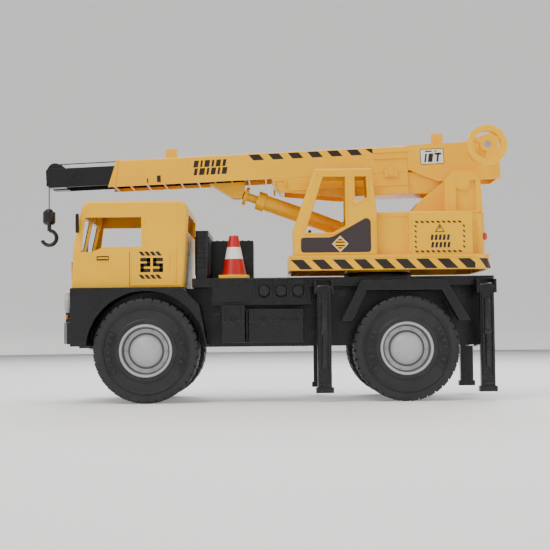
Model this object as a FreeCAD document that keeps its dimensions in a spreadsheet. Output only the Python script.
"""Toy crane truck: a parametric assembly of separate moulded, turned and pressed pieces.

Frame: millimetres, +Z up, the cab looks along -X and the truck's left side is -Y.
The origin is on the ground below the middle of the truck. Boom pieces are drawn level
about the boom's pivot and turned to the rest slope. The lift cylinder is drawn along its
own axis, starting at its pin on the boom.
"""
import math
import os

import FreeCAD
import Part
import Sketcher

# ---------------------------------------------------------------- driving dimensions
DIMENSIONS = {
    # shared by many pieces
    "wall": 2.5, "body_gap": 0.4, "shaft_play": 0.05, "screw_radius": 1.6,
    # wheels and axles
    "tyre_radius": 47.5, "tyre_width": 34, "tyre_face_y": 67, "tyre_shoulder": 6, "tyre_skin": 3,
    "tyre_slit": 2.8,
    "sidewall_radius": 38.3, "rim_radius": 24, "rim_recess": 7, "hub_radius": 14.5,
    "hub_dome": 3.5, "axle_radius": 2.5, "front_axle_x": -115, "rear_axle_x": 120,
    # chassis
    "chassis_front_x": -181, "chassis_rear_x": 202, "spine_half": 27, "spine_bottom": 50,
    "plate_bottom": 104.6, "deck_top": 113, "deck_half": 50, "deck_front_x": -74,
    "panel_front_x": -56, "panel_rear_x": 34.5, "panel_bottom": 88,
    "axle_boss_half": 9, "axle_boss_bottom": 39,
    # battery compartment and electronics
    "cell_radius": 7.25, "cell_length": 50.5, "cell_pitch": 15, "tray_wall": 1.2,
    "door_length": 68, "door_width": 40, "door_thick": 2, "contact_thick": 0.5,
    "board_length": 38, "board_height": 17, "board_thick": 1.6, "board_y": -38,
    "speaker_radius": 14, "speaker_height": 8,
    # front cab
    "cab_front_x": -183, "cab_rear_x": -81, "cab_roof_z": 184, "cab_floor_z": 105,
    "cab_half": 60, "cab_rear_lean": 5, "cab_brow_x": -172, "cab_wall": 2.6,
    "cab_sill_z": 142, "cab_window_top": 169, "cab_window_front_x": -174,
    "cab_window_rear_x": -119, "cab_window_dip": 4.5, "cab_corner": 9, "pane_margin": 12,
    # grille, lights, bumper
    "grille_half": 33, "grille_bottom": 80, "grille_top": 130, "grille_thick": 3,
    "grille_bar": 2.4, "grille_pitch": 6.25, "lamp_radius": 8, "lamp_y": 49, "lamp_z": 92,
    "lamp_depth": 5, "bumper_front_x": -192, "bumper_depth": 14, "bumper_half": 58,
    "bumper_bottom": 54, "bumper_top": 74, "bar_half": 3.5, "bar_y": 22, "bar_rise": 16,
    # fenders and flares
    "arch_radius": 54, "arch_skin": 2.5, "guard_face_y": 66, "guard_skin": 3,
    "fender_front_x": -183, "fender_rear_x": -60, "fender_hip_x": -66.5, "fender_hip_z": 88,
    "fender_shoulder_x": -82, "fender_bottom": 52,
    "flare_front_x": 61, "flare_rear_x": 177.5, "flare_bottom": 72.5, "flare_top": 109.3,
    "flare_top_front_x": 79.5, "flare_top_rear_x": 156, "flare_band": 9.5,
    # side boxes
    "box_face_y": 60, "box_back_y": 28, "box_bottom": 54, "box_a_front_x": -47,
    "box_a_rear_x": -25.5, "box_a_top": 87.5, "box_b_front_x": -22.3, "box_b_rear_x": 27.4,
    "box_b_top": 84, "box_lip_z": 73.7, "box_lip": 1.6, "box_web_y": 52,
    # engine cover behind the cab
    "stack_front_x": -71, "stack_rear_x": -59, "stack_half": 46, "stack_top": 157,
    "engine_rear_x": -18.5, "engine_near_y": 2, "engine_top": 151,
    # sound buttons
    "button_radius": 4.75, "button_z": 100.7, "button_first_x": -8, "button_pitch": 15.5,
    "button_stand": 2.5, "button_length": 7, "button_flange": 1.6, "button_lip": 0.7,
    # traffic cone
    "cone_x": -36, "cone_y": -32, "cone_base_half": 14, "cone_base": 3, "cone_foot": 11.5,
    "cone_tip": 4.2, "cone_height": 37,
    # outriggers
    "leg_half": 6.3, "leg_thick": 7, "leg_face_y": 64, "leg_front_x": 46, "leg_rear_x": 193,
    "leg_pin_z": 102.5, "leg_bottom": 8, "leg_foot": 5, "leg_foot_half": 8,
    "ear_thick": 2.2, "ear_bottom": 97, "leg_pin_radius": 1.5,
    # turret
    "slew_x": 100, "ring_inner": 22, "ring_outer": 32, "ring_height": 5, "hub_bore": 12,
    "hub_bottom": 97, "washer_radius": 14, "washer_thick": 2, "chamber_radius": 16,
    "turret_front_x": 14.5, "turret_rear_x": 199, "turret_half": 60, "skirt_bottom": 118.6,
    "turret_top": 132.5, "turret_nose": 3, "turret_tail": 15,
    # crane cab
    "crane_front_x": 18.5, "crane_rear_x": 95.5, "crane_near_y": 59, "crane_far_y": 27,
    "crane_roof_z": 211.5, "crane_brow_x": 39, "crane_knee_z": 155, "crane_back_z": 170,
    "crane_back_x": 91, "crane_wall": 2.4, "pane_front_x": 30, "pane_rear_x": 66.5,
    "pane_top": 204, "pane_sill": 153, "pane_brow_x": 46.5, "pane_knee_x": 55,
    "pane_knee_z": 159, "vent_front_x": 75.2, "vent_rear_x": 86.5, "vent_bottom": 180,
    "vent_top_rear_x": 85.5, "vent_lift": 5,
    # machinery housing and boom tower
    "house_front_x": 96, "house_half": 50, "house_top": 172, "house_wall": 3,
    "sign_front_x": 124.5, "sign_rear_x": 182.5, "sign_face_y": 56, "tail_rear_x": 197,
    "tail_half": 40, "slot_half": 14, "slot_rear_x": 152, "tower_front_x": 160,
    "tower_rear_x": 195, "tower_top": 210.5, "cheek_in": 23.6, "cheek_out": 40,
    "cheek_corner": 8, "cheek_recess": 3, "cheek_frame": 6.5, "gusset_x": 140,
    "gusset_thick": 4,
    # boom, drawn level from the pivot
    "pivot_x": 176, "pivot_z": 200, "boom_slope": 2.3, "pin_radius": 3, "pin_head": 5,
    "pin_head_thick": 2, "boom_half": 22, "boom_top": 39.2, "boom_bottom": 14.5,
    "boom_nose": -321, "boom_lean": 9, "boom_wall": 2.2, "boom_rear": -47,
    "boom_rib": 1.6, "base_front": -176,
    "base_bottom": -6, "base_lean": 8, "base_mid": -111,
    "tail_end": 9, "tail_bottom": -8, "head_half": 23, "head_bottom": 4, "head_chin": 27,
    "head_rear": 39.5, "head_top": 39.8, "horn_top": 47.8, "horn_front": 33,
    "head_wall": 3, "guide_wide": 10.5, "guide_half": 4,
    "front_guide": -270.5, "front_guide_top": 50.3, "rear_guide": -15.5,
    "rear_guide_top": 52, "guide_hole": 1.2, "string_rise": 2,
    # winch
    "winch_x": 21.8, "winch_z": 31, "drum_radius": 4, "drum_cheek": 8, "drum_half": 12,
    "crank_shaft": 3, "crank_radius": 18.2, "crank_rim": 2.6, "crank_face_y": 61,
    "crank_back_y": 51, "crank_hub": 6.2, "spoke": 3.4,
    # inner boom and tip sheave
    "inner_front": -390.24, "inner_rear": -200, "inner_half": 17, "inner_bottom": 17,
    "inner_top": 35, "inner_wall": 2, "tip_rear": -371, "tip_top": 39.5, "fork_half": 4.4,
    "tip_half": 9, "sheave_x": -382.4, "sheave_z": 34.9, "sheave_radius": 7.5,
    "sheave_groove": 1.2, "sheave_half": 3.6, "sheave_pin": 1.5,
    # lift cylinder
    "lug_front": -235, "lug_rear": -202, "lug_half": 9, "lug_gap": 5, "lift_pin_x": -209,
    "lift_pin_z": 4.6, "lift_pin_radius": 1.8, "trunnion_x": 111, "trunnion_z": 145,
    "rod_radius": 4, "rod_disc": 9, "rod_disc_thick": 3, "rod_length": 132,
    "barrel_start": 20, "barrel_radius": 7.6, "gland_radius": 9, "gland_length": 8,
    "barrel_end": 3.5, "trunnion_radius": 2.4, "trunnion_half": 11.5,
    # string and hook
    "string_radius": 0.5, "hook_top_z": 183, "hook_block_radius": 6, "hook_block": 15,
    "hook_bar": 1.9, "hook_bend": 7, "hook_shank": 7,
}


class Size:
    """A length with its value now and the sheet expression that gives it."""

    def __init__(self, value, words):
        self.value = value
        self.words = words

    def combine(self, other, sign, flip=False):
        first, second = (as_size(other), self) if flip else (self, as_size(other))
        results = {
            "+": first.value + second.value,
            "-": first.value - second.value,
            "*": first.value * second.value,
            "/": first.value / second.value if second.value else 0.0,
        }
        return Size(results[sign], f"({first.words} {sign} {second.words})")

    def __add__(self, other):
        return self.combine(other, "+")

    def __radd__(self, other):
        return self.combine(other, "+", flip=True)

    def __sub__(self, other):
        return self.combine(other, "-")

    def __rsub__(self, other):
        return self.combine(other, "-", flip=True)

    def __mul__(self, other):
        return self.combine(other, "*")

    def __rmul__(self, other):
        return self.combine(other, "*", flip=True)

    def __truediv__(self, other):
        return self.combine(other, "/")

    def __neg__(self):
        return 0 - self


def as_size(number):
    return number if isinstance(number, Size) else Size(float(number), f"{float(number):.6f}")


class Dims:
    """Every driving dimension as an attribute, read from the spreadsheet's cells."""


def fill_sheet(doc):
    sheet = doc.addObject("Spreadsheet::Sheet", "Dimensions")
    for row, (name, number) in enumerate(DIMENSIONS.items(), start=1):
        sheet.set(f"A{row}", name.replace("_", " "))
        sheet.set(f"B{row}", str(number))
        sheet.setAlias(f"B{row}", name)
    doc.recompute()
    for name in DIMENSIONS:
        setattr(Dims, name, Size(float(sheet.get(name)), f"{sheet.Name}.{name}"))


doc = FreeCAD.newDocument("toy_crane_truck")
fill_sheet(doc)
d = Dims
subparts = []


# ---------------------------------------------------------------- drawing helpers
# A plane's first sketch axis, its second, and which way a pad or pocket has to point so
# that it always runs from its low level to its high one.
PLANES = {
    "XY": {"role": "XY_Plane", "level_sign": 1, "pad_reversed": False, "cut_reversed": True},
    "XZ": {"role": "XZ_Plane", "level_sign": -1, "pad_reversed": True, "cut_reversed": False},
    "YZ": {"role": "YZ_Plane", "level_sign": 1, "pad_reversed": False, "cut_reversed": True},
}


def rectangle(a_low, a_high, b_low, b_high):
    return [(a_low, b_low), (a_high, b_low), (a_high, b_high), (a_low, b_high)]


def disc(a, b, radius):
    return {"centre": (a, b), "radius": radius}


def vector(a, b):
    return FreeCAD.Vector(as_size(a).value, as_size(b).value, 0)


def bind(feature, name, size):
    feature.setExpression(name, as_size(size).words)


class Piece:
    """One sub-part: a PartDesign body whose sketches and features are bound to the sheet."""

    def __init__(self, name):
        self.body = doc.addObject("PartDesign::Body", name)
        self.body.Label = name
        self.count = 0
        subparts.append(self.body)

    def add(self, kind, word):
        self.count += 1
        return self.body.newObject(kind, f"{self.body.Name}_{word}{self.count}")

    def sketch(self, plane, level, loops):
        sketch = self.add("Sketcher::SketchObject", "sketch")
        role = PLANES[plane]["role"]
        origin = self.body.Origin.OriginFeatures
        sketch.AttachmentSupport = [(next(p for p in origin if p.Role == role), "")]
        sketch.MapMode = "FlatFace"
        bind(sketch, "AttachmentOffset.Base.z", PLANES[plane]["level_sign"] * as_size(level))
        for loop in loops:
            if isinstance(loop, dict):
                self.draw_disc(sketch, loop)
            else:
                self.draw_polygon(sketch, loop)
        return sketch

    def fix_point(self, sketch, edge, point, place):
        for kind, size in zip(("DistanceX", "DistanceY"), place):
            limit = Sketcher.Constraint(kind, -1, 1, edge, point, as_size(size).value)
            index = sketch.addConstraint(limit)
            bind(sketch, f"Constraints[{index}]", size)

    def draw_polygon(self, sketch, points):
        first = sketch.GeometryCount
        for start, end in zip(points, points[1:] + points[:1]):
            sketch.addGeometry(Part.LineSegment(vector(*start), vector(*end)))
        for number, place in enumerate(points):
            before = first + (number - 1) % len(points)
            sketch.addConstraint(
                Sketcher.Constraint("Coincident", before, 2, first + number, 1))
            self.fix_point(sketch, first + number, 1, place)

    def draw_disc(self, sketch, circle):
        radius = as_size(circle["radius"])
        centre = vector(*circle["centre"])
        shape = Part.Circle(centre, FreeCAD.Vector(0, 0, 1), radius.value)
        edge = sketch.addGeometry(shape)
        self.fix_point(sketch, edge, 3, circle["centre"])
        index = sketch.addConstraint(Sketcher.Constraint("Radius", edge, radius.value))
        bind(sketch, f"Constraints[{index}]", radius)

    def pad(self, plane, low, high, *loops):
        sketch = self.sketch(plane, low, loops)
        pad = self.add("PartDesign::Pad", "pad")
        pad.Profile = sketch
        pad.Reversed = PLANES[plane]["pad_reversed"]
        bind(pad, "Length", as_size(high) - as_size(low))
        return pad

    def cut(self, plane, low, high, *loops):
        sketch = self.sketch(plane, low, loops)
        pocket = self.add("PartDesign::Pocket", "pocket")
        pocket.Profile = sketch
        pocket.Reversed = PLANES[plane]["cut_reversed"]
        bind(pocket, "Length", as_size(high) - as_size(low))
        return pocket

    def turn(self, plane, points):
        """A solid of revolution about the sketch plane's first axis."""
        sketch = self.sketch(plane, 0, [points])
        turned = self.add("PartDesign::Revolution", "turned")
        turned.Profile = sketch
        turned.ReferenceAxis = (sketch, ["H_Axis"])
        turned.Angle = 360
        return turned

    def round_off(self, radius, pick):
        """Fillet the edges that pick() chooses from an edge's middle and direction."""
        doc.recompute()
        base = self.body.Tip
        names = []
        for number, edge in enumerate(base.Shape.Edges, start=1):
            if edge.Length < 0.5 or not isinstance(edge.Curve, (Part.Line, Part.LineSegment)):
                continue
            middle = edge.CenterOfMass
            along = edge.tangentAt(edge.FirstParameter)
            if pick(middle, along):
                names.append(f"Edge{number}")
        if not names:
            raise ValueError(f"{self.body.Name}: no edge to round")
        fillet = self.add("PartDesign::Fillet", "fillet")
        fillet.Base = (base, names)
        bind(fillet, "Radius", radius)
        return fillet

    def move_to(self, x=0, y=0, z=0):
        for axis, size in zip("xyz", (x, y, z)):
            bind(self.body, f"Placement.Base.{axis}", size)
        return self

    def lean(self, angle):
        """Turn the piece about its own Y axis by an angle in degrees."""
        angle = as_size(angle)
        turn = FreeCAD.Rotation(FreeCAD.Vector(0, 1, 0), angle.value)
        self.body.Placement = FreeCAD.Placement(FreeCAD.Vector(), turn)
        bind(self.body, "Placement.Rotation.Angle", angle)
        return self


def on_boom(piece):
    """Place a piece drawn level about the boom's pivot."""
    return piece.lean(-d.boom_slope).move_to(d.pivot_x, 0, d.pivot_z)


def across_y(middle, along):
    return abs(along.y) > 0.99


def upright(middle, along):
    return abs(along.z) > 0.99


SIDES = {"left": -1, "right": 1}


def y_range(side, inner, outer):
    """The low and high Y of something between two distances from the middle plane."""
    inner, outer = as_size(inner), as_size(outer)
    return (-outer, -inner) if side < 0 else (inner, outer)


def cosine(angle):
    return Size(math.cos(math.radians(angle.value)), f"cos({angle.words} * 1deg)")


def sine(angle):
    return Size(math.sin(math.radians(angle.value)), f"sin({angle.words} * 1deg)")


def heading(rise, run):
    return Size(math.degrees(math.atan2(rise.value, run.value)),
                f"atan2({rise.words}; {run.words})")


# ---------------------------------------------------------------- shared positions
lift_pin_at_x = (d.pivot_x + d.lift_pin_x * cosine(d.boom_slope)
                 - d.lift_pin_z * sine(d.boom_slope))
lift_pin_at_z = (d.pivot_z + d.lift_pin_x * sine(d.boom_slope)
                 + d.lift_pin_z * cosine(d.boom_slope))
lift_fall = heading(lift_pin_at_z - d.trunnion_z, d.trunnion_x - lift_pin_at_x)
sheave_at_x = (d.pivot_x + d.sheave_x * cosine(d.boom_slope)
               - d.sheave_z * sine(d.boom_slope))
sheave_at_z = (d.pivot_z + d.sheave_x * sine(d.boom_slope)
               + d.sheave_z * cosine(d.boom_slope))
string_lay = d.sheave_radius - d.sheave_groove
drop_x = sheave_at_x - string_lay
leg_places = {"front": d.leg_front_x, "rear": d.leg_rear_x}
button_places = [d.button_first_x + number * d.button_pitch for number in range(3)]
wheel_places = {"front": d.front_axle_x, "rear": d.rear_axle_x}


# ---------------------------------------------------------------- chassis
def chassis_frame():
    """Spine, deck plate and side panel in one moulding, with the outriggers' ears."""
    piece = Piece("chassis_frame")
    piece.pad("XY", d.plate_bottom, d.deck_top,
              rectangle(d.deck_front_x, d.chassis_rear_x, -d.deck_half, d.deck_half))
    piece.pad("XY", d.spine_bottom, d.plate_bottom,
              rectangle(d.chassis_front_x, d.chassis_rear_x, -d.spine_half, d.spine_half))
    piece.pad("XY", d.panel_bottom, d.plate_bottom,
              rectangle(d.panel_front_x, d.panel_rear_x, -d.deck_half, d.deck_half))
    for axle_x in wheel_places.values():
        piece.pad("XY", d.axle_boss_bottom, d.spine_bottom + 1,
                  rectangle(axle_x - d.axle_boss_half, axle_x + d.axle_boss_half,
                            -d.spine_half, d.spine_half))
    for axle_x in wheel_places.values():
        piece.cut("XZ", -d.spine_half - 1, d.spine_half + 1,
                  disc(axle_x, d.tyre_radius, d.axle_radius + d.shaft_play))
    piece.cut("XY", d.spine_bottom - 1, bay_top,
              rectangle(-bay_half_x, bay_half_x, -bay_half_y, bay_half_y))
    piece.cut("XY", d.spine_bottom - 1, d.spine_bottom + d.door_thick,
              rectangle(-d.door_length / 2, d.door_length / 2, -d.door_width / 2,
                        d.door_width / 2))
    board_room = d.button_pitch + d.button_radius + d.button_lip + d.body_gap
    piece.cut("XY", d.panel_bottom - 1, d.deck_top - d.wall,
              rectangle(board_x - board_room, board_x + board_room,
                        -d.deck_half + d.wall, -d.spine_half - 1))
    for button_x in button_places:
        piece.cut("XZ", -d.deck_half - 1, -d.deck_half + d.wall + 1,
                  disc(button_x, d.button_z, d.button_radius + d.body_gap))
    piece.cut("XY", d.hub_bottom - 4, d.deck_top + 1,
              disc(d.slew_x, 0, d.hub_bore + d.body_gap))
    piece.cut("XY", d.spine_bottom - 1, d.hub_bottom,
              disc(d.slew_x - 2, 0, d.chamber_radius))
    for leg_x in leg_places.values():
        for side in SIDES.values():
            low, high = y_range(side, d.deck_half - 1, d.leg_face_y)
            inner = d.leg_half + d.body_gap
            for ear in (-1, 1):
                edges = sorted((leg_x + ear * inner, leg_x + ear * (inner + d.ear_thick)),
                               key=lambda size: size.value)
                piece.pad("XY", d.ear_bottom, d.flare_top,
                          rectangle(edges[0], edges[1], low, high))
        piece.cut("YZ", leg_x - d.leg_half - d.ear_thick - 1,
                  leg_x + d.leg_half + d.ear_thick + 1,
                  disc(-leg_pin_y, d.leg_pin_z, d.leg_pin_radius),
                  disc(leg_pin_y, d.leg_pin_z, d.leg_pin_radius))
    for front, rear in wing_pockets():
        for side in SIDES.values():
            low, high = y_range(side, d.spine_half + d.wall, d.deck_half - d.wall)
            piece.cut("XY", d.panel_bottom - 1, d.deck_top - d.wall,
                      rectangle(front, rear, low, high))
    for front, rear in spine_pockets():
        for side in SIDES.values():
            low, high = y_range(side, d.wall / 2, d.spine_half - d.wall)
            piece.cut("XY", d.spine_bottom - 1, d.deck_top - d.wall,
                      rectangle(front, rear, low, high))
    for screw_x, screw_y in chassis_screw_places():
        piece.cut("XY", d.spine_bottom - 1, d.spine_bottom + screw_depth,
                  disc(screw_x, screw_y, d.screw_radius))


def wing_pockets():
    """Front and rear ends of the hollow cells beside the spine, between their ribs."""
    middle = (d.panel_rear_x + d.chassis_rear_x) / 2
    quarter = (d.chassis_rear_x - d.panel_rear_x) / 4
    ribs = [d.panel_front_x, d.panel_rear_x, d.panel_rear_x + quarter, middle,
            middle + quarter, d.chassis_rear_x]
    rear_cells = [(front + d.wall, rear - d.wall / 2) for front, rear in zip(ribs[1:], ribs[2:])]
    return [(d.panel_front_x + d.wall, board_x - d.board_length / 2 - 2 * d.wall)] + rear_cells


def spine_pockets():
    """Front and rear ends of the hollow cells between the spine's cross ribs."""
    front_boss = d.front_axle_x - d.axle_boss_half
    bay_front = -d.door_length / 2 - d.wall
    rear_boss = d.rear_axle_x + d.axle_boss_half
    return [(d.chassis_front_x + 18, front_boss - d.wall),
            (d.front_axle_x + d.axle_boss_half + d.wall, bay_front - 32),
            (bay_front - 30, bay_front),
            (-bay_front, d.slew_x - d.chamber_radius - 2 - d.wall),
            (rear_boss + d.wall, d.chassis_rear_x - 18 - d.wall)]


leg_pin_y = d.leg_face_y - d.leg_thick / 2
board_x = button_places[1]
bay_half_x = d.cell_length / 2 + d.contact_thick + d.tray_wall
bay_half_y = d.cell_pitch / 2 + d.cell_radius + 0.5 + d.tray_wall
cell_rows = (-d.cell_pitch / 2, d.cell_pitch / 2)
bay_top = d.spine_bottom + d.door_thick + 2 * d.cell_radius + 1 + d.tray_wall
cell_z = d.spine_bottom + d.door_thick + d.cell_radius + 0.5
screw_depth = 12


def chassis_screw_places():
    across = d.spine_half - 5
    return [(x, side * across) for x in (d.chassis_front_x + 12, d.chassis_rear_x - 12)
            for side in SIDES.values()]


def battery_tray():
    """Thin tray that fills the bay above the cells, open downwards."""
    piece = Piece("battery_tray")
    piece.pad("XY", d.spine_bottom + d.door_thick, bay_top,
              rectangle(-bay_half_x, bay_half_x, -bay_half_y, bay_half_y))
    piece.cut("XY", d.spine_bottom, bay_top - d.tray_wall,
              rectangle(-bay_half_x + d.tray_wall, bay_half_x - d.tray_wall,
                        -bay_half_y + d.tray_wall, bay_half_y - d.tray_wall))


def battery_cells():
    piece = Piece("battery_cells")
    rows = [disc(middle, cell_z, d.cell_radius) for middle in cell_rows]
    piece.pad("YZ", -d.cell_length / 2, d.cell_length / 2, *rows)


def battery_contacts():
    """Sprung plates at both ends of each cell."""
    piece = Piece("battery_contacts")
    for low in (-d.cell_length / 2 - d.contact_thick, d.cell_length / 2):
        for middle in cell_rows:
            half = d.cell_radius - 1.5
            piece.pad("YZ", low, low + d.contact_thick,
                      rectangle(middle - half, middle + half, cell_z - half, cell_z + half))


def battery_door():
    piece = Piece("battery_door")
    half_x, half_y = d.door_length / 2 - 0.2, d.door_width / 2 - 0.2
    piece.pad("XY", d.spine_bottom, d.spine_bottom + d.door_thick,
              rectangle(-half_x, half_x, -half_y, half_y))
    for number in (-1, 0, 1):
        slot_x = 4 * number - half_x + 12
        piece.cut("XY", d.spine_bottom - 1, d.spine_bottom + d.door_thick / 2,
                  rectangle(slot_x, slot_x + 1.6, -8, 8))


def chassis_screws():
    """Screws up into the spine, heads against its underside."""
    piece = Piece("chassis_screws")
    for screw_x, screw_y in chassis_screw_places():
        piece.pad("XY", d.spine_bottom, d.spine_bottom + screw_depth,
                  disc(screw_x, screw_y, d.screw_radius))
        piece.pad("XY", d.spine_bottom - 2, d.spine_bottom,
                  disc(screw_x, screw_y, d.screw_radius * 2))


def circuit_board():
    piece = Piece("circuit_board")
    piece.pad("XZ", d.board_y, d.board_y + d.board_thick,
              rectangle(board_x - d.board_length / 2, board_x + d.board_length / 2,
                        d.panel_bottom + 3, d.panel_bottom + 3 + d.board_height))
    piece.pad("XZ", d.board_y + d.board_thick, -d.spine_half - 1,
              rectangle(board_x - 5, board_x + 5, d.panel_bottom + 5, d.panel_bottom + 15))


def side_box(name, side):
    """Tool boxes between the wheels, joined behind by a narrow web."""
    piece = Piece(f"side_box_{name}")
    low, high = y_range(side, d.box_back_y, d.box_web_y)
    piece.pad("XY", d.box_bottom, d.box_b_top,
              rectangle(d.box_a_front_x, d.box_b_rear_x, low, high))
    boxes = ((d.box_a_front_x, d.box_a_rear_x, d.box_a_top),
             (d.box_b_front_x, d.box_b_rear_x, d.box_b_top))
    for front, rear, top in boxes:
        low, high = y_range(side, d.box_back_y, d.box_face_y)
        piece.pad("XY", d.box_bottom, top, rectangle(front, rear, low, high))
    for front, rear, _ in boxes:
        low, high = y_range(side, d.box_face_y - 1, d.box_face_y + d.box_lip)
        piece.pad("XY", d.box_bottom, d.box_lip_z, rectangle(front, rear, low, high))


# ---------------------------------------------------------------- cab and front end
def front_cab():
    """Hollow cab shell with side, rear and front panes cut through."""
    piece = Piece("front_cab")
    rear_top = d.cab_rear_x + d.cab_rear_lean
    outline = [(d.cab_rear_x, d.cab_floor_z), (rear_top, d.cab_roof_z),
               (d.cab_brow_x, d.cab_roof_z), (d.cab_front_x + 2, d.cab_sill_z),
               (d.cab_front_x, d.cab_floor_z)]
    piece.pad("XZ", -d.cab_half, d.cab_half, outline)
    piece.round_off(d.cab_corner, lambda middle, along: across_y(middle, along)
                    and middle.z > d.cab_roof_z.value - 1)
    piece.round_off(3, lambda middle, along: abs(middle.y) > d.cab_half.value - 0.1
                    and abs(along.y) < 0.5 and middle.z > d.cab_floor_z.value + 1)
    inside = [(d.cab_rear_x - d.cab_wall, d.cab_floor_z - 1),
              (rear_top - d.cab_wall, d.cab_roof_z - d.cab_wall),
              (d.cab_brow_x + d.cab_wall, d.cab_roof_z - d.cab_wall),
              (d.cab_front_x + 2 + d.cab_wall, d.cab_sill_z),
              (d.cab_front_x + d.cab_wall, d.cab_floor_z - 1)]
    piece.cut("XZ", -d.cab_half + d.cab_wall, d.cab_half - d.cab_wall, inside)
    sill = d.cab_sill_z
    pane = [(d.cab_window_front_x + 4, d.cab_window_top), (d.cab_window_rear_x, d.cab_window_top),
            (d.cab_window_rear_x, sill), (d.cab_window_rear_x - 34, sill),
            (d.cab_window_rear_x - 45, sill - d.cab_window_dip),
            (d.cab_window_front_x, sill - d.cab_window_dip)]
    piece.cut("XZ", -d.cab_half - 1, d.cab_half + 1, pane)
    piece.cut("YZ", rear_top - 3 * d.cab_wall, rear_top + 1,
              rectangle(-d.cab_half + d.pane_margin, d.cab_half - d.pane_margin,
                        156, d.cab_window_top + 3))
    piece.cut("YZ", d.cab_front_x - 1, d.cab_brow_x + d.cab_wall + 1,
              rectangle(-d.cab_half + d.pane_margin, -2, sill, d.cab_window_top),
              rectangle(2, d.cab_half - d.pane_margin, sill, d.cab_window_top))


def cab_floor():
    """Black moulding that closes the cab's bottom and carries the seats."""
    piece = Piece("cab_floor")
    half = d.cab_half - d.cab_wall
    front, rear = d.cab_front_x + d.cab_wall + d.body_gap, d.cab_rear_x - d.cab_wall
    piece.pad("XY", d.plate_bottom, d.plate_bottom + 3, rectangle(front, rear, -half, half))
    for side in SIDES.values():
        low, high = y_range(side, 12, 40)
        piece.pad("XY", d.plate_bottom + 3, d.plate_bottom + 16,
                  rectangle(rear - 38, rear - 12, low, high))
        piece.pad("XY", d.plate_bottom + 3, d.plate_bottom + 44,
                  rectangle(rear - 16, rear - 8, low, high))


def cab_grille():
    piece = Piece("cab_grille")
    front = d.cab_front_x - d.grille_thick
    piece.pad("YZ", front, d.cab_front_x,
              rectangle(-d.grille_half, d.grille_half, d.grille_bottom, d.grille_top))
    for number in range(7):
        low = d.grille_bottom + 4 + number * d.grille_pitch
        piece.cut("YZ", front - 1, d.cab_front_x - d.grille_thick / 2,
                  rectangle(-d.grille_half + 4, d.grille_half - 4, low,
                            low + d.grille_pitch - d.grille_bar))


def headlights():
    piece = Piece("headlights")
    face = d.fender_front_x
    for side in SIDES.values():
        piece.pad("YZ", face - d.lamp_depth, face,
                  disc(side * d.lamp_y, d.lamp_z, d.lamp_radius))


def front_bumper():
    piece = Piece("front_bumper")
    rear = d.bumper_front_x + d.bumper_depth - d.guard_skin
    piece.pad("XY", d.bumper_bottom, d.bumper_top,
              [(rear, -d.bumper_half), (rear, d.bumper_half),
               (d.bumper_front_x + 5, d.bumper_half), (d.bumper_front_x, d.bumper_half - 14),
               (d.bumper_front_x, -d.bumper_half + 14),
               (d.bumper_front_x + 5, -d.bumper_half)])
    piece.cut("XY", d.bumper_bottom + 4, d.bumper_top + 1,
              rectangle(d.bumper_front_x + 6, d.fender_front_x + 20,
                        -d.spine_half - 0.1, d.spine_half + 0.1))
    piece.cut("XY", d.bumper_bottom - 1, d.bumper_top + 1,
              rectangle(d.fender_front_x, rear + 1, -d.bumper_half - 1, d.bumper_half + 1))
    for side in SIDES.values():
        low, high = y_range(side, d.bar_y - d.bar_half, d.bar_y + d.bar_half)
        piece.pad("XY", d.bumper_bottom, d.bumper_top + d.bar_rise,
                  rectangle(d.bumper_front_x - 2, d.bumper_front_x + 4, low, high))


def front_fender(name, side):
    """Wheel arch guard: a side plate, an arch skin over the tyre and a flat top."""
    piece = Piece(f"front_fender_{name}")
    low, high = y_range(side, d.guard_face_y - d.guard_skin, d.guard_face_y)
    outline = [(d.fender_front_x, d.fender_bottom), (d.fender_front_x, d.plate_bottom),
               (d.fender_shoulder_x, d.plate_bottom), (d.fender_hip_x, d.fender_hip_z),
               (d.fender_rear_x, d.fender_bottom)]
    piece.pad("XZ", low, high, outline)
    root_low, root_high = y_range(side, d.spine_half, d.guard_face_y - d.guard_skin)
    piece.pad("XZ", root_low, root_high, outline)
    piece.cut("XZ", min_of(low, root_low) - 1, max_of(high, root_high) + 1,
              disc(d.front_axle_x, d.tyre_radius, d.arch_radius))
    arch_top = d.tyre_radius + d.arch_radius
    for front, rear in ((d.fender_front_x + d.arch_skin, d.front_axle_x - 32),
                        (d.front_axle_x + 34, d.fender_rear_x - 12)):
        piece.cut("XZ", root_low, root_high,
                  rectangle(front, rear, arch_top - 12, d.plate_bottom - d.arch_skin))


def min_of(first, second):
    return first if as_size(first).value < as_size(second).value else second


def max_of(first, second):
    return first if as_size(first).value > as_size(second).value else second


def rear_flare(name, side):
    """Angular band over the rear tyre, with a top shelf that meets the deck plate."""
    piece = Piece(f"rear_flare_{name}")
    low, high = y_range(side, d.guard_face_y - d.flare_band, d.guard_face_y)
    top = d.flare_top - d.flare_band
    band = d.flare_band + 1
    piece.pad("XZ", low, high, [
        (d.flare_front_x, d.flare_bottom), (d.flare_top_front_x, d.flare_top),
        (d.flare_top_rear_x, d.flare_top), (d.flare_rear_x, d.flare_bottom),
        (d.flare_rear_x - band, d.flare_bottom), (d.flare_top_rear_x - 4, top),
        (d.flare_top_front_x + 5, top), (d.flare_front_x + band, d.flare_bottom)])
    low, high = y_range(side, d.deck_half, d.guard_face_y - d.flare_band + 1)
    piece.pad("XZ", low, high,
              rectangle(d.flare_top_front_x, d.flare_top_rear_x, top, d.flare_top))


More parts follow.
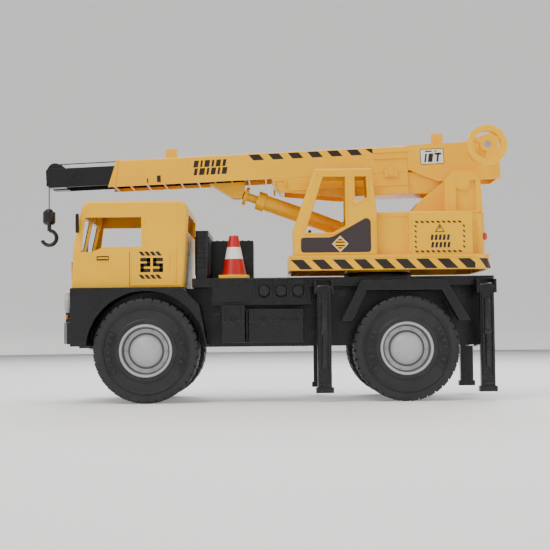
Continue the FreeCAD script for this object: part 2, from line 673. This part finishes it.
# ---------------------------------------------------------------- deck furniture
def engine_cover():
    """Air intake wall behind the cab and the engine box beside it, open underneath."""
    piece = Piece("engine_cover")
    piece.pad("XY", d.deck_top, d.stack_top,
              rectangle(d.stack_front_x, d.stack_rear_x, -d.stack_half, d.stack_half))
    piece.pad("XY", d.deck_top, d.engine_top,
              rectangle(d.stack_rear_x, d.engine_rear_x, d.engine_near_y, d.stack_half))
    piece.round_off(2.5, lambda middle, along: upright(middle, along)
                    and abs(middle.y) > d.stack_half.value - 1)
    piece.cut("XY", d.deck_top - 1, d.engine_top - d.wall,
              rectangle(d.stack_rear_x + 1, d.engine_rear_x - d.wall,
                        d.engine_near_y + d.wall, d.stack_half - d.wall))


def speaker():
    piece = Piece("speaker")
    middle_x = (d.stack_rear_x + d.engine_rear_x) / 2
    middle_y = (d.engine_near_y + d.stack_half) / 2
    piece.pad("XY", d.deck_top, d.deck_top + d.speaker_height,
              disc(middle_x, middle_y, d.speaker_radius))
    piece.pad("XY", d.deck_top + d.speaker_height, d.deck_top + d.speaker_height + 5,
              disc(middle_x, middle_y, d.speaker_radius / 2))


def sound_button(number, button_x):
    piece = Piece(f"sound_button_{number}")
    face = -d.deck_half - d.button_stand
    piece.pad("XZ", face, face + d.button_length,
              disc(button_x, d.button_z, d.button_radius))
    rear = -d.deck_half + d.wall + d.body_gap
    piece.pad("XZ", rear, rear + d.button_flange,
              disc(button_x, d.button_z, d.button_radius + d.button_lip))


def traffic_cone():
    piece = Piece("cone_plate")
    half = d.cone_base_half
    piece.pad("XY", 0, d.cone_base, rectangle(-half, half, -half, half))
    piece.round_off(3, upright)
    spire = doc.addObject("Part::Cone", "cone_spire")
    bind(spire, "Radius1", d.cone_foot)
    bind(spire, "Radius2", d.cone_tip)
    bind(spire, "Height", d.cone_height)
    bind(spire, "Placement.Base.z", d.cone_base)
    hollow = doc.addObject("Part::Cone", "cone_hollow")
    bind(hollow, "Radius1", d.cone_foot)
    bind(hollow, "Radius2", d.cone_tip - 1.6)
    bind(hollow, "Height", d.cone_base + d.cone_height - 2)
    solid = doc.addObject("Part::Fuse", "cone_solid")
    solid.Base, solid.Tool = piece.body, spire
    cone = doc.addObject("Part::Cut", "traffic_cone")
    cone.Base, cone.Tool = solid, hollow
    subparts[subparts.index(piece.body)] = cone
    for axis, size in zip("xyz", (d.cone_x, d.cone_y, d.deck_top)):
        bind(cone, f"Placement.Base.{axis}", size)


def outrigger_leg(end, leg_x, name, side):
    """Flat stabiliser leg with a round top eye and a foot, hanging from its pin."""
    piece = Piece(f"outrigger_{end}_{name}")
    low, high = y_range(side, d.leg_face_y - d.leg_thick, d.leg_face_y)
    piece.pad("XY", d.leg_bottom, d.leg_pin_z,
              rectangle(leg_x - d.leg_half, leg_x + d.leg_half, low, high))
    piece.pad("YZ", leg_x - d.leg_half, leg_x + d.leg_half,
              disc(side * leg_pin_y, d.leg_pin_z, d.leg_thick / 2))
    low, high = y_range(side, d.leg_face_y - d.leg_thick, d.leg_face_y + 1.5)
    piece.pad("XY", d.leg_bottom, d.leg_bottom + d.leg_foot,
              rectangle(leg_x - d.leg_foot_half, leg_x + d.leg_foot_half, low, high))
    piece.cut("YZ", leg_x - d.leg_half - 1, leg_x + d.leg_half + 1,
              disc(side * leg_pin_y, d.leg_pin_z, d.leg_pin_radius + d.shaft_play))
    groove_low, groove_high = y_range(side, d.leg_face_y - 1.2, d.leg_face_y + 1)
    piece.cut("XY", d.leg_bottom + 24, d.leg_pin_z - 14,
              rectangle(leg_x - 1.5, leg_x + 1.5, groove_low, groove_high))


def outrigger_pins():
    piece = Piece("outrigger_pins")
    reach = d.leg_half + d.body_gap + d.ear_thick
    for leg_x in leg_places.values():
        piece.pad("YZ", leg_x - reach, leg_x + reach,
                  disc(-leg_pin_y, d.leg_pin_z, d.leg_pin_radius),
                  disc(leg_pin_y, d.leg_pin_z, d.leg_pin_radius))


# ---------------------------------------------------------------- wheels
def tyre(end, axle_x, name, side):
    """Hollow moulded tyre with a narrow slit beside its inner bead."""
    piece = Piece(f"tyre_{end}_{name}")
    outer, inner = d.tyre_face_y, d.tyre_face_y - d.tyre_width
    shoulder, skin = d.tyre_shoulder, d.tyre_skin
    mouth = d.rim_radius + skin + d.tyre_slit
    piece.turn("YZ", [
        (side * inner, d.rim_radius), (side * outer, d.rim_radius),
        (side * outer, d.sidewall_radius), (side * (outer - 1.5), d.tyre_radius - shoulder),
        (side * (outer - shoulder), d.tyre_radius), (side * (inner + shoulder), d.tyre_radius),
        (side * (inner + 1.5), d.tyre_radius - shoulder), (side * inner, d.sidewall_radius),
        (side * inner, mouth), (side * (inner + skin), mouth),
        (side * (inner + skin), d.sidewall_radius - skin),
        (side * (inner + 2 * skin), d.tyre_radius - 2 * skin),
        (side * (outer - 2 * skin), d.tyre_radius - 2 * skin),
        (side * (outer - skin), d.sidewall_radius - skin),
        (side * (outer - skin), d.rim_radius + skin), (side * inner, d.rim_radius + skin)])
    piece.move_to(axle_x, 0, d.tyre_radius)


def rim(end, axle_x, name, side):
    """Dished wheel centre with a domed hub, pressed on the axle."""
    piece = Piece(f"rim_{end}_{name}")
    outer, inner = d.tyre_face_y, d.tyre_face_y - d.tyre_width
    dish = outer - d.rim_recess
    piece.turn("YZ", [
        (side * inner, d.axle_radius), (side * (dish - 3), d.axle_radius),
        (side * (dish - 3), 0), (side * (outer - 1), 0),
        (side * (outer - 1), d.hub_radius * 0.4),
        (side * (outer - 1 - d.hub_dome), d.hub_radius - 1),
        (side * dish, d.hub_radius), (side * dish, d.rim_radius - 3),
        (side * outer, d.rim_radius - 2), (side * outer, d.rim_radius),
        (side * inner, d.rim_radius)])
    piece.move_to(axle_x, 0, d.tyre_radius)


def axle(end, axle_x):
    piece = Piece(f"{end}_axle")
    reach = d.tyre_face_y - d.rim_recess - 3
    piece.pad("XZ", -reach, reach, disc(0, 0, d.axle_radius))
    piece.move_to(axle_x, 0, d.tyre_radius)


# ---------------------------------------------------------------- turret
def slew_ring():
    """Raised track on the deck plate that the turret turns on."""
    piece = Piece("slew_ring")
    piece.pad("XY", d.deck_top, d.deck_top + d.ring_height,
              disc(d.slew_x, 0, d.ring_outer), disc(d.slew_x, 0, d.ring_inner))


def turret_deck():
    """Hazard-striped platform: a shallow tray upside down with a hub through the deck."""
    piece = Piece("turret_deck")
    front, rear, half = d.turret_front_x, d.turret_rear_x, d.turret_half
    piece.pad("XY", d.skirt_bottom, d.turret_top,
              [(front, -half + d.turret_nose), (front + d.turret_nose, -half),
               (rear, -half), (rear, half), (front + d.turret_nose, half),
               (front, half - d.turret_nose)])
    piece.round_off(d.turret_tail, lambda middle, along: upright(middle, along)
                    and middle.x > rear.value - 1)
    skin = d.wall + 0.5
    piece.cut("XY", d.skirt_bottom - 1, d.turret_top - skin,
              [(front + skin, -half + skin + d.turret_tail / 3),
               (rear - d.turret_tail, -half + skin), (rear - skin, -half + d.turret_tail),
               (rear - skin, half - d.turret_tail), (rear - d.turret_tail, half - skin),
               (front + skin, half - skin - d.turret_tail / 3)])
    piece.pad("XY", d.deck_top + d.ring_height + d.body_gap, d.turret_top - skin,
              disc(d.slew_x, 0, d.ring_outer - 1))
    piece.pad("XY", d.hub_bottom, d.deck_top + d.ring_height + d.body_gap,
              disc(d.slew_x, 0, d.hub_bore))
    piece.cut("XY", d.hub_bottom - 1, d.hub_bottom + 15,
              disc(d.slew_x, 0, d.screw_radius))


def slew_bolt():
    """Washer and screw under the deck plate that hold the turret's hub."""
    piece = Piece("slew_bolt")
    piece.pad("XY", d.hub_bottom - d.washer_thick, d.hub_bottom,
              disc(d.slew_x, 0, d.washer_radius - 1))
    piece.pad("XY", d.hub_bottom - d.washer_thick - 3, d.hub_bottom + 15,
              disc(d.slew_x, 0, d.screw_radius))
    piece.pad("XY", d.hub_bottom - d.washer_thick - 3, d.hub_bottom - d.washer_thick,
              disc(d.slew_x, 0, d.screw_radius * 2))


def crane_cab():
    """Operator's cab: hollow shell with panes on both sides and a slanted windscreen."""
    piece = Piece("crane_cab")
    near, far = -d.crane_near_y, -d.crane_far_y
    outline = [(d.crane_front_x, d.turret_top), (d.crane_front_x, d.crane_knee_z),
               (d.crane_brow_x, d.crane_roof_z), (d.crane_back_x, d.crane_roof_z),
               (d.crane_rear_x, d.crane_back_z), (d.crane_rear_x, d.turret_top)]
    piece.pad("XZ", near, far, outline)
    piece.round_off(2.2, lambda middle, along: abs(along.y) < 0.5
                    and middle.z > d.turret_top.value + 1)
    skin = d.crane_wall
    piece.cut("XZ", near + skin, far - skin, [
        (d.crane_front_x + skin, d.turret_top - 1), (d.crane_front_x + skin, d.crane_knee_z),
        (d.crane_brow_x + skin, d.crane_roof_z - skin),
        (d.crane_back_x - skin, d.crane_roof_z - skin),
        (d.crane_rear_x - skin, d.crane_back_z), (d.crane_rear_x - skin, d.turret_top - 1)])
    piece.cut("XZ", near - 1, far + 1, [
        (d.pane_brow_x, d.pane_top), (d.pane_rear_x, d.pane_top),
        (d.pane_rear_x, d.pane_knee_z), (d.pane_knee_x, d.pane_sill),
        (d.pane_front_x, d.pane_sill)])
    piece.cut("XZ", near - 1, far + 1, [
        (d.vent_front_x, d.pane_top), (d.vent_top_rear_x, d.pane_top),
        (d.vent_rear_x, d.vent_bottom + d.vent_lift), (d.vent_front_x, d.vent_bottom)])
    piece.cut("YZ", d.crane_front_x - 1, d.pane_front_x + 12,
              rectangle(near + 2.2 * skin, far - 2.2 * skin, d.crane_knee_z + 3,
                        d.pane_top))


def machinery_housing():
    """Winch housing: a shell open below, with sign panels, a rounded tail and a slot."""
    piece = Piece("machinery_housing")
    base, top, half = d.turret_top, d.house_top, d.house_half
    piece.pad("XY", base, top, rectangle(d.house_front_x, d.sign_rear_x, -half, half))
    piece.pad("XY", base, top,
              rectangle(d.sign_front_x, d.sign_rear_x, -d.sign_face_y, d.sign_face_y))
    piece.pad("XY", base, top,
              rectangle(d.sign_rear_x, d.tail_rear_x, -d.tail_half, d.tail_half))
    piece.round_off(8, lambda middle, along: upright(middle, along)
                    and middle.x > d.tail_rear_x.value - 1)
    piece.round_off(2, lambda middle, along: abs(along.x) > 0.99
                    and middle.z > top.value - 0.1 and abs(middle.y) > d.sign_face_y.value - 1)
    skin = d.house_wall
    piece.cut("XY", base - 1, top - skin,
              rectangle(d.house_front_x + skin, d.sign_rear_x - skin, -half + skin,
                        half - skin))
    piece.cut("XY", base - 1, top + 1,
              rectangle(d.house_front_x - 1, d.slot_rear_x, -d.slot_half, d.slot_half))


def boom_tower():
    """Two arched cheeks that carry the boom's pin, each with a sloped gusset in front."""
    piece = Piece("boom_tower")
    front, rear, top = d.tower_front_x, d.tower_rear_x, d.tower_top
    for side in SIDES.values():
        low, high = y_range(side, d.cheek_in, d.cheek_out)
        piece.pad("XZ", low, high, [
            (front, d.house_top), (rear, d.house_top), (rear - 2, top - d.cheek_corner),
            (rear - 9, top), (front + d.cheek_corner, top), (front, top - d.cheek_corner)])
    for side in SIDES.values():
        low, high = y_range(side, d.cheek_in, d.cheek_in + d.gusset_thick)
        piece.pad("XZ", low, high, [(d.gusset_x - 12, d.house_top), (front + 1, d.house_top),
                                    (front + 1, top - d.cheek_corner),
                                    (d.gusset_x, d.house_top + 14)])
    for side in SIDES.values():
        low, high = y_range(side, d.cheek_out - d.cheek_recess, d.cheek_out + 1)
        piece.cut("XZ", low, high,
                  rectangle(front + d.cheek_frame + 4, rear - d.cheek_frame,
                            d.house_top + d.wall, top - d.cheek_frame - 2))
    for side in SIDES.values():
        low, high = y_range(side, d.cheek_out - d.cheek_recess - 1, d.cheek_out)
        piece.pad("XZ", low, high, disc(d.pivot_x, d.pivot_z, d.pin_head + 2))
    piece.cut("XZ", -d.cheek_out - 1, d.cheek_out + 1,
              disc(d.pivot_x, d.pivot_z, d.pin_radius))
    for side in SIDES.values():
        low, high = y_range(side, d.cheek_out - d.pin_head_thick, d.cheek_out + 1)
        piece.cut("XZ", low, high, disc(d.pivot_x, d.pivot_z, d.pin_head))


def boom_pin():
    piece = Piece("boom_pin")
    piece.pad("XZ", -d.cheek_out, d.cheek_out, disc(d.pivot_x, d.pivot_z, d.pin_radius))
    for side in SIDES.values():
        low, high = y_range(side, d.cheek_out - d.pin_head_thick, d.cheek_out)
        piece.pad("XZ", low, high, disc(d.pivot_x, d.pivot_z, d.pin_head))


# ---------------------------------------------------------------- boom
def boom_outer():
    """Main boom section: a channel open below, with cross ribs and two string guides."""
    piece = Piece("boom_outer")
    half, skin = d.boom_half, d.boom_wall
    piece.pad("XZ", -half, half, [
        (d.boom_nose - d.boom_lean, d.boom_bottom), (d.boom_rear, d.boom_bottom),
        (d.boom_rear, d.boom_top), (d.boom_nose, d.boom_top)])
    piece.round_off(1.2, lambda middle, along: abs(along.x) > 0.99
                    and middle.z > d.boom_top.value - 0.1)
    piece.cut("YZ", d.boom_nose - d.boom_lean - 1, d.boom_rear + 1,
              rectangle(-half + skin, half - skin, d.boom_bottom - 1, d.boom_top - skin))
    guide = d.front_guide
    rail = d.inner_half + d.body_gap
    for side in SIDES.values():
        low, high = y_range(side, rail, half - skin)
        piece.pad("XY", d.inner_bottom, d.boom_top - skin,
                  rectangle(d.boom_nose, d.inner_rear + 90, low, high))
    for number in range(9):
        rib_x = d.base_front - 6 - number * 16
        piece.pad("XY", d.boom_bottom, d.inner_bottom - d.body_gap,
                  rectangle(rib_x, rib_x + d.boom_rib, -half + skin, half - skin))
    piece.pad("XY", d.boom_top, d.front_guide_top,
              rectangle(guide - d.guide_wide / 2, guide + d.guide_wide / 2,
                        -d.guide_half, d.guide_half))
    piece.cut("YZ", guide - d.guide_wide, guide + d.guide_wide,
              disc(0, string_guide_z, d.guide_hole))
    on_boom(piece)


string_guide_z = d.boom_top + d.string_rise


def boom_base():
    """Deep rear section under the main channel, running back to the pivot eye."""
    piece = Piece("boom_base")
    half = d.boom_half
    piece.pad("XZ", -half, half, [
        (d.base_front, d.boom_bottom), (d.base_front + d.base_lean, -d.base_bottom - 4.5),
        (d.base_mid, d.base_bottom), (d.boom_rear - 0.5, d.base_bottom),
        (d.boom_rear - 0.5, d.boom_bottom)])
    inner = half - d.boom_wall
    piece.cut("XY", d.base_bottom - 1, d.boom_bottom - d.boom_wall,
              rectangle(d.base_front + d.base_lean + 4, d.base_mid + 12, -inner, inner))
    tail = d.head_half - d.head_wall
    piece.pad("XZ", -tail, tail, [
        (d.boom_rear - 0.5, d.base_bottom), (d.boom_rear - 0.5, d.boom_bottom),
        (d.tail_end, d.boom_bottom), (d.tail_end, d.tail_bottom + 3),
        (d.tail_end - 4, d.tail_bottom), (-12, d.tail_bottom)])
    piece.cut("XZ", -half - 1, half + 1, disc(0, 0, d.pin_radius + d.shaft_play))
    on_boom(piece)


def boom_head():
    """Winch head: two side plates with raised horns, a top bridge and a string guide."""
    piece = Piece("boom_head")
    half, skin = d.head_half, d.head_wall
    outline = [(d.boom_rear, d.boom_bottom + 2), (d.boom_rear + d.head_chin, d.head_bottom),
               (d.head_rear, d.head_bottom), (d.head_rear, d.horn_top),
               (d.horn_front, d.horn_top), (d.horn_front - 26, d.head_top),
               (d.boom_rear, d.head_top)]
    piece.pad("XZ", -half, half, outline)
    piece.cut("XY", d.head_bottom - 1, d.head_top - skin,
              rectangle(d.boom_rear - 1, d.head_rear - skin, -half + skin, half - skin))
    piece.cut("XY", d.head_top - skin - 1, d.horn_top + 1,
              rectangle(d.winch_x - 13, d.head_rear + 1, -half + skin, half - skin))
    guide = d.rear_guide
    piece.pad("XY", d.head_top, d.rear_guide_top,
              rectangle(guide - d.guide_wide / 2, guide + d.guide_wide / 2,
                        -d.guide_half, d.guide_half))
    piece.cut("YZ", guide - d.guide_wide, guide + d.guide_wide,
              disc(0, string_guide_z, d.guide_hole))
    piece.cut("XZ", -half - 1, half + 1,
              disc(d.winch_x, d.winch_z, d.crank_shaft + d.shaft_play))
    on_boom(piece)


def cylinder_bracket():
    """Clevis under the boom that holds the lift cylinder's pin."""
    piece = Piece("cylinder_bracket")
    half, gap = d.lug_half, d.lug_gap
    piece.pad("XZ", -half, half, [
        (d.lug_front, d.boom_bottom), (d.lug_rear, d.boom_bottom),
        (d.lug_rear, d.boom_bottom - 8), (d.lift_pin_x + 4, d.lift_pin_z - 5),
        (d.lift_pin_x - 4, d.lift_pin_z - 5), (d.lug_front + 8, d.boom_bottom - 6)])
    piece.cut("XZ", -gap, gap,
              rectangle(d.lift_pin_x - 6, d.lug_rear + 1, d.lift_pin_z - 6,
                        d.lift_pin_z + 6))
    piece.pad("XZ", -half, half, disc(d.lift_pin_x, d.lift_pin_z, d.lift_pin_radius))
    on_boom(piece)


def inner_boom():
    """Telescoping section with a forked tip for the sheave."""
    piece = Piece("inner_boom")
    half, skin = d.inner_half, d.inner_wall
    piece.pad("XZ", -half, half,
              rectangle(d.inner_front + 4, d.inner_rear, d.inner_bottom, d.inner_top))
    piece.cut("YZ", d.tip_rear, d.inner_rear - skin,
              rectangle(-half + skin, half - skin, d.inner_bottom - 1, d.inner_top - skin))
    piece.pad("XZ", -d.tip_half, d.tip_half, [
        (d.inner_front, d.inner_bottom + 3), (d.inner_front + 6, d.inner_bottom),
        (d.tip_rear, d.inner_bottom), (d.tip_rear, d.tip_top - 4), (d.tip_rear - 4, d.tip_top),
        (d.inner_front + 4, d.tip_top), (d.inner_front, d.tip_top - 5)])
    piece.cut("XZ", -d.fork_half, d.fork_half,
              rectangle(d.inner_front - 1, d.tip_rear - 2, d.inner_bottom + 9,
                        d.tip_top + 1))
    piece.cut("XY", d.inner_bottom - 1, d.inner_bottom + 10,
              rectangle(d.inner_front - 1, d.tip_rear + 1, -d.fork_half, d.fork_half))
    piece.pad("XZ", -d.tip_half, d.tip_half, disc(d.sheave_x, d.sheave_z, d.sheave_pin))
    on_boom(piece)


def tip_sheave():
    """Grooved wheel at the tip that turns the string downwards."""
    piece = Piece("tip_sheave")
    half = d.sheave_half
    bore = d.sheave_pin + d.shaft_play
    piece.turn("YZ", [(-half, bore), (-half, d.sheave_radius),
                      (0, d.sheave_radius - d.sheave_groove - 1), (half, d.sheave_radius),
                      (half, bore)])
    piece.body.Placement.Base = FreeCAD.Vector()
    piece.lean(-d.boom_slope)
    piece.move_to(sheave_at_x, 0, sheave_at_z)


# ---------------------------------------------------------------- winch
def winch_drum():
    """Spool and crank shaft in one, with the wound string as its thick middle."""
    piece = Piece("winch_drum")
    bore_side = d.head_half - d.head_wall - d.body_gap
    end = -d.crank_face_y + 4
    piece.turn("YZ", [
        (end, 0), (end, d.crank_shaft), (-d.drum_half - 2, d.crank_shaft),
        (-d.drum_half - 2, d.drum_cheek), (-d.drum_half, d.drum_cheek),
        (-d.drum_half, d.drum_radius), (d.drum_half, d.drum_radius),
        (d.drum_half, d.drum_cheek), (d.drum_half + 2, d.drum_cheek),
        (d.drum_half + 2, d.crank_shaft), (bore_side + d.head_wall, d.crank_shaft),
        (bore_side + d.head_wall, 0)])
    piece.lean(-d.boom_slope)
    piece.move_to(winch_at_x, 0, winch_at_z)


winch_at_x = (d.pivot_x + d.winch_x * cosine(d.boom_slope)
              - d.winch_z * sine(d.boom_slope))
winch_at_z = (d.pivot_z + d.winch_x * sine(d.boom_slope)
              + d.winch_z * cosine(d.boom_slope))


def crank_wheel():
    """Three-spoked handwheel on the near end of the winch shaft."""
    piece = Piece("crank_wheel")
    low, high = -d.crank_face_y, -d.crank_back_y
    rim_in = d.crank_radius - 2 * d.crank_rim
    piece.pad("XZ", low + 1, high - 1, disc(0, 0, d.crank_radius), disc(0, 0, rim_in))
    for number in range(3):
        angle = math.radians(90 + 120 * number)
        ux, uz = math.cos(angle), math.sin(angle)
        vx, vz = -uz, ux
        half, reach = d.spoke / 2, rim_in + 1
        piece.pad("XZ", low + 2, high - 2, [
            (half * vx, half * vz), (reach * ux + half * vx, reach * uz + half * vz),
            (reach * ux - half * vx, reach * uz - half * vz), (-half * vx, -half * vz)])
    piece.pad("XZ", low, high, disc(0, 0, d.crank_hub))
    piece.cut("XZ", -d.crank_face_y + 4, high + 1, disc(0, 0, d.crank_shaft))
    piece.cut("XZ", low - 1, -d.crank_face_y + 4, disc(0, 0, d.screw_radius * 2))
    piece.lean(-d.boom_slope + 180)
    piece.move_to(winch_at_x, 0, winch_at_z)


def crank_screw():
    piece = Piece("crank_screw")
    low = -d.crank_face_y
    piece.pad("XZ", low + 1, low + 4, disc(0, 0, d.screw_radius * 2))
    piece.cut("XZ", low, low + 2.2, rectangle(-2.4, 2.4, -0.5, 0.5))
    piece.cut("XZ", low, low + 2.2, rectangle(-0.5, 0.5, -2.4, 2.4))
    piece.lean(-d.boom_slope)
    piece.move_to(winch_at_x, 0, winch_at_z)


# ---------------------------------------------------------------- lift cylinder
def lift_rod():
    """Piston rod with its eye on the boom's pin and a thin flange disc."""
    piece = Piece("lift_rod")
    piece.turn("XZ", [
        (d.lift_pin_radius + 2, 0), (d.rod_length, 0), (d.rod_length, d.rod_radius),
        (10, d.rod_radius), (10, d.rod_disc), (10 - d.rod_disc_thick, d.rod_disc),
        (10 - d.rod_disc_thick, d.rod_radius), (d.lift_pin_radius + 2, d.rod_radius)])
    piece.pad("XZ", -d.rod_radius, d.rod_radius, disc(0, 0, d.lift_pin_radius + 2.6))
    piece.cut("XZ", -d.rod_radius - 1, d.rod_radius + 1,
              disc(0, 0, d.lift_pin_radius + d.shaft_play))
    piece.lean(lift_fall).move_to(lift_pin_at_x, 0, lift_pin_at_z)


def lift_barrel():
    """Cylinder barrel with a gland nut at its mouth and trunnion stubs at its foot."""
    piece = Piece("lift_barrel")
    start, foot = d.barrel_start, lift_span - 6
    bore = d.rod_radius + d.body_gap
    piece.turn("XZ", [
        (start, bore), (start, d.gland_radius), (start + d.gland_length, d.gland_radius),
        (start + d.gland_length, d.barrel_radius), (lift_span + d.barrel_end, d.barrel_radius),
        (lift_span + d.barrel_end, 0), (foot, 0), (foot, bore)])
    piece.pad("XZ", -d.trunnion_half, d.trunnion_half,
              disc(lift_span, 0, d.trunnion_radius))
    piece.lean(lift_fall).move_to(lift_pin_at_x, 0, lift_pin_at_z)


def lift_length():
    run, rise = d.trunnion_x - lift_pin_at_x, lift_pin_at_z - d.trunnion_z
    return Size(math.hypot(run.value, rise.value), f"hypot({run.words}; {rise.words})")


lift_span = lift_length()


# ---------------------------------------------------------------- string and hook
def tube(name, points, radius):
    """Straight runs joined by tangent arcs, swept with a round section."""
    route = [FreeCAD.Vector(*(as_size(part).value for part in point)) for point in points]
    runs = [(b - a).Length for a, b in zip(route, route[1:])]
    edges, here, radii = [], route[0], []
    for number, corner in enumerate(route[1:-1]):
        before = (corner - route[number]).normalize()
        after = (route[number + 2] - corner).normalize()
        half_turn = before.getAngle(after) / 2
        reach = 0.45 * min(runs[number], runs[number + 1])
        bend = reach / math.tan(half_turn)
        radii.append(bend)
        start, end = corner - before * reach, corner + after * reach
        inward = (after - before).normalize()
        middle = corner + inward * (bend / math.cos(half_turn) - bend)
        edges += [Part.LineSegment(here, start).toShape(), Part.Arc(start, middle, end).toShape()]
        here = end
    edges.append(Part.LineSegment(here, route[-1]).toShape())
    path = Part.Wire(edges)
    heading_out = (route[1] - route[0]).normalize()
    section = Part.Wire([Part.Circle(route[0], heading_out, radius.value).toShape()])
    solid = path.makePipeShell([section], True, True)
    print(name, "bend radii", [round(bend, 1) for bend in radii],
          "volume ratio", round(solid.Volume / (math.pi * radius.value ** 2 * path.Length), 3))
    feature = doc.addObject("Part::Feature", name)
    feature.Label = name
    feature.Shape = solid
    subparts.append(feature)


def boom_place(x, z):
    """A point given level about the pivot, at the boom's rest slope."""
    slope = d.boom_slope
    return (d.pivot_x + x * cosine(slope) - z * sine(slope), as_size(0),
            d.pivot_z + x * sine(slope) + z * cosine(slope))


def string_run():
    """String from the top of the drum through both guides to the top of the sheave."""
    drum_top = d.winch_z + d.drum_radius + 2 * d.string_radius
    places = [(d.winch_x, drum_top), (d.winch_x - 12.8, string_guide_z - 0.4),
              (d.rear_guide, string_guide_z), (d.rear_guide - 45, string_guide_z - 0.2),
              (d.rear_guide - 100, string_guide_z - 0.3),
              (d.rear_guide - 155, string_guide_z - 0.25),
              (d.rear_guide - 210, string_guide_z - 0.1), (d.front_guide, string_guide_z),
              (d.front_guide - 55, string_guide_z + 0.1),
              (d.sheave_x, d.sheave_z + string_lay)]
    tube("string_run", [boom_place(x, z) for x, z in places], d.string_radius)


def string_drop():
    """String laid over the front of the sheave, then down to the hook."""
    reach = string_lay
    near = reach * math.tan(math.radians(22.5))
    round_sheave = [(-0.3, reach), (-near, reach), (-reach, near)]
    places = [(sheave_at_x + x, 0, sheave_at_z + z) for x, z in round_sheave]
    tube("string_drop", places + [(drop_x, 0, d.hook_top_z)], d.string_radius)


def hook():
    """Swivel block with a moulded hook that opens forwards."""
    piece = Piece("swivel_block")
    radius, block = d.hook_block_radius, d.hook_block
    piece.turn("XZ", [(-block, 0), (-block, radius * 0.7), (-block + 2, radius),
                      (-3, radius), (0, radius * 0.5), (0, 0)])
    spin = FreeCAD.Rotation(FreeCAD.Vector(0, 1, 0), -90)
    piece.body.Placement = FreeCAD.Placement(FreeCAD.Vector(), spin)
    shank = doc.addObject("Part::Cylinder", "hook_shank")
    bind(shank, "Radius", d.hook_bar)
    bind(shank, "Height", d.hook_shank)
    bind(shank, "Placement.Base.z", -block - d.hook_shank + 1)
    bend = doc.addObject("Part::Torus", "hook_bend")
    bind(bend, "Radius1", d.hook_bend)
    bind(bend, "Radius2", d.hook_bar)
    bend.Angle3 = 250
    turn = FreeCAD.Rotation(FreeCAD.Vector(1, 0, 0), FreeCAD.Vector(0, 0, 1),
                            FreeCAD.Vector(0, -1, 0), "XZY")
    start = FreeCAD.Rotation(FreeCAD.Vector(0, 0, 1), 200)
    bend.Placement = FreeCAD.Placement(FreeCAD.Vector(), turn.multiply(start))
    bind(bend, "Placement.Base.z", -block - d.hook_shank - d.hook_bend + 1.5)
    joined = doc.addObject("Part::MultiFuse", "hook")
    joined.Shapes = [piece.body, shank, bend]
    subparts[subparts.index(piece.body)] = joined
    bind(joined, "Placement.Base.x", drop_x)
    bind(joined, "Placement.Base.z", d.hook_top_z)


# ---------------------------------------------------------------- the whole truck
chassis_frame()
battery_tray()
battery_cells()
battery_contacts()
battery_door()
chassis_screws()
circuit_board()
front_cab()
cab_floor()
cab_grille()
headlights()
front_bumper()
for name, side in SIDES.items():
    front_fender(name, side)
    rear_flare(name, side)
    side_box(name, side)
engine_cover()
speaker()
for number, button_x in enumerate(button_places, start=1):
    sound_button(number, button_x)
traffic_cone()
for end, leg_x in leg_places.items():
    for name, side in SIDES.items():
        outrigger_leg(end, leg_x, name, side)
outrigger_pins()
for end, axle_x in wheel_places.items():
    for name, side in SIDES.items():
        tyre(end, axle_x, name, side)
        rim(end, axle_x, name, side)
    axle(end, axle_x)
slew_ring()
turret_deck()
slew_bolt()
crane_cab()
machinery_housing()
boom_tower()
boom_pin()
boom_outer()
boom_base()
boom_head()
cylinder_bracket()
inner_boom()
tip_sheave()
winch_drum()
crank_wheel()
crank_screw()
lift_rod()
lift_barrel()
string_run()
string_drop()
hook()

doc.recompute()
for item in doc.Objects:
    if {"Invalid", "Error"} & set(item.State):
        raise RuntimeError(f"{item.Label} did not compute: {item.State}")
os.makedirs("parts", exist_ok=True)
for item in subparts:
    if item.Shape.isNull() or not item.Shape.isValid():
        raise RuntimeError(f"{item.Label} has no valid shape")
    item.Shape.exportStep(f"parts/{item.Label}.step")
box = Part.makeCompound([item.Shape for item in subparts]).BoundBox
print(len(subparts), "sub-parts; box", [round(value, 1) for value in (
    box.XMin, box.XMax, box.YMin, box.YMax, box.ZMin, box.ZMax)])
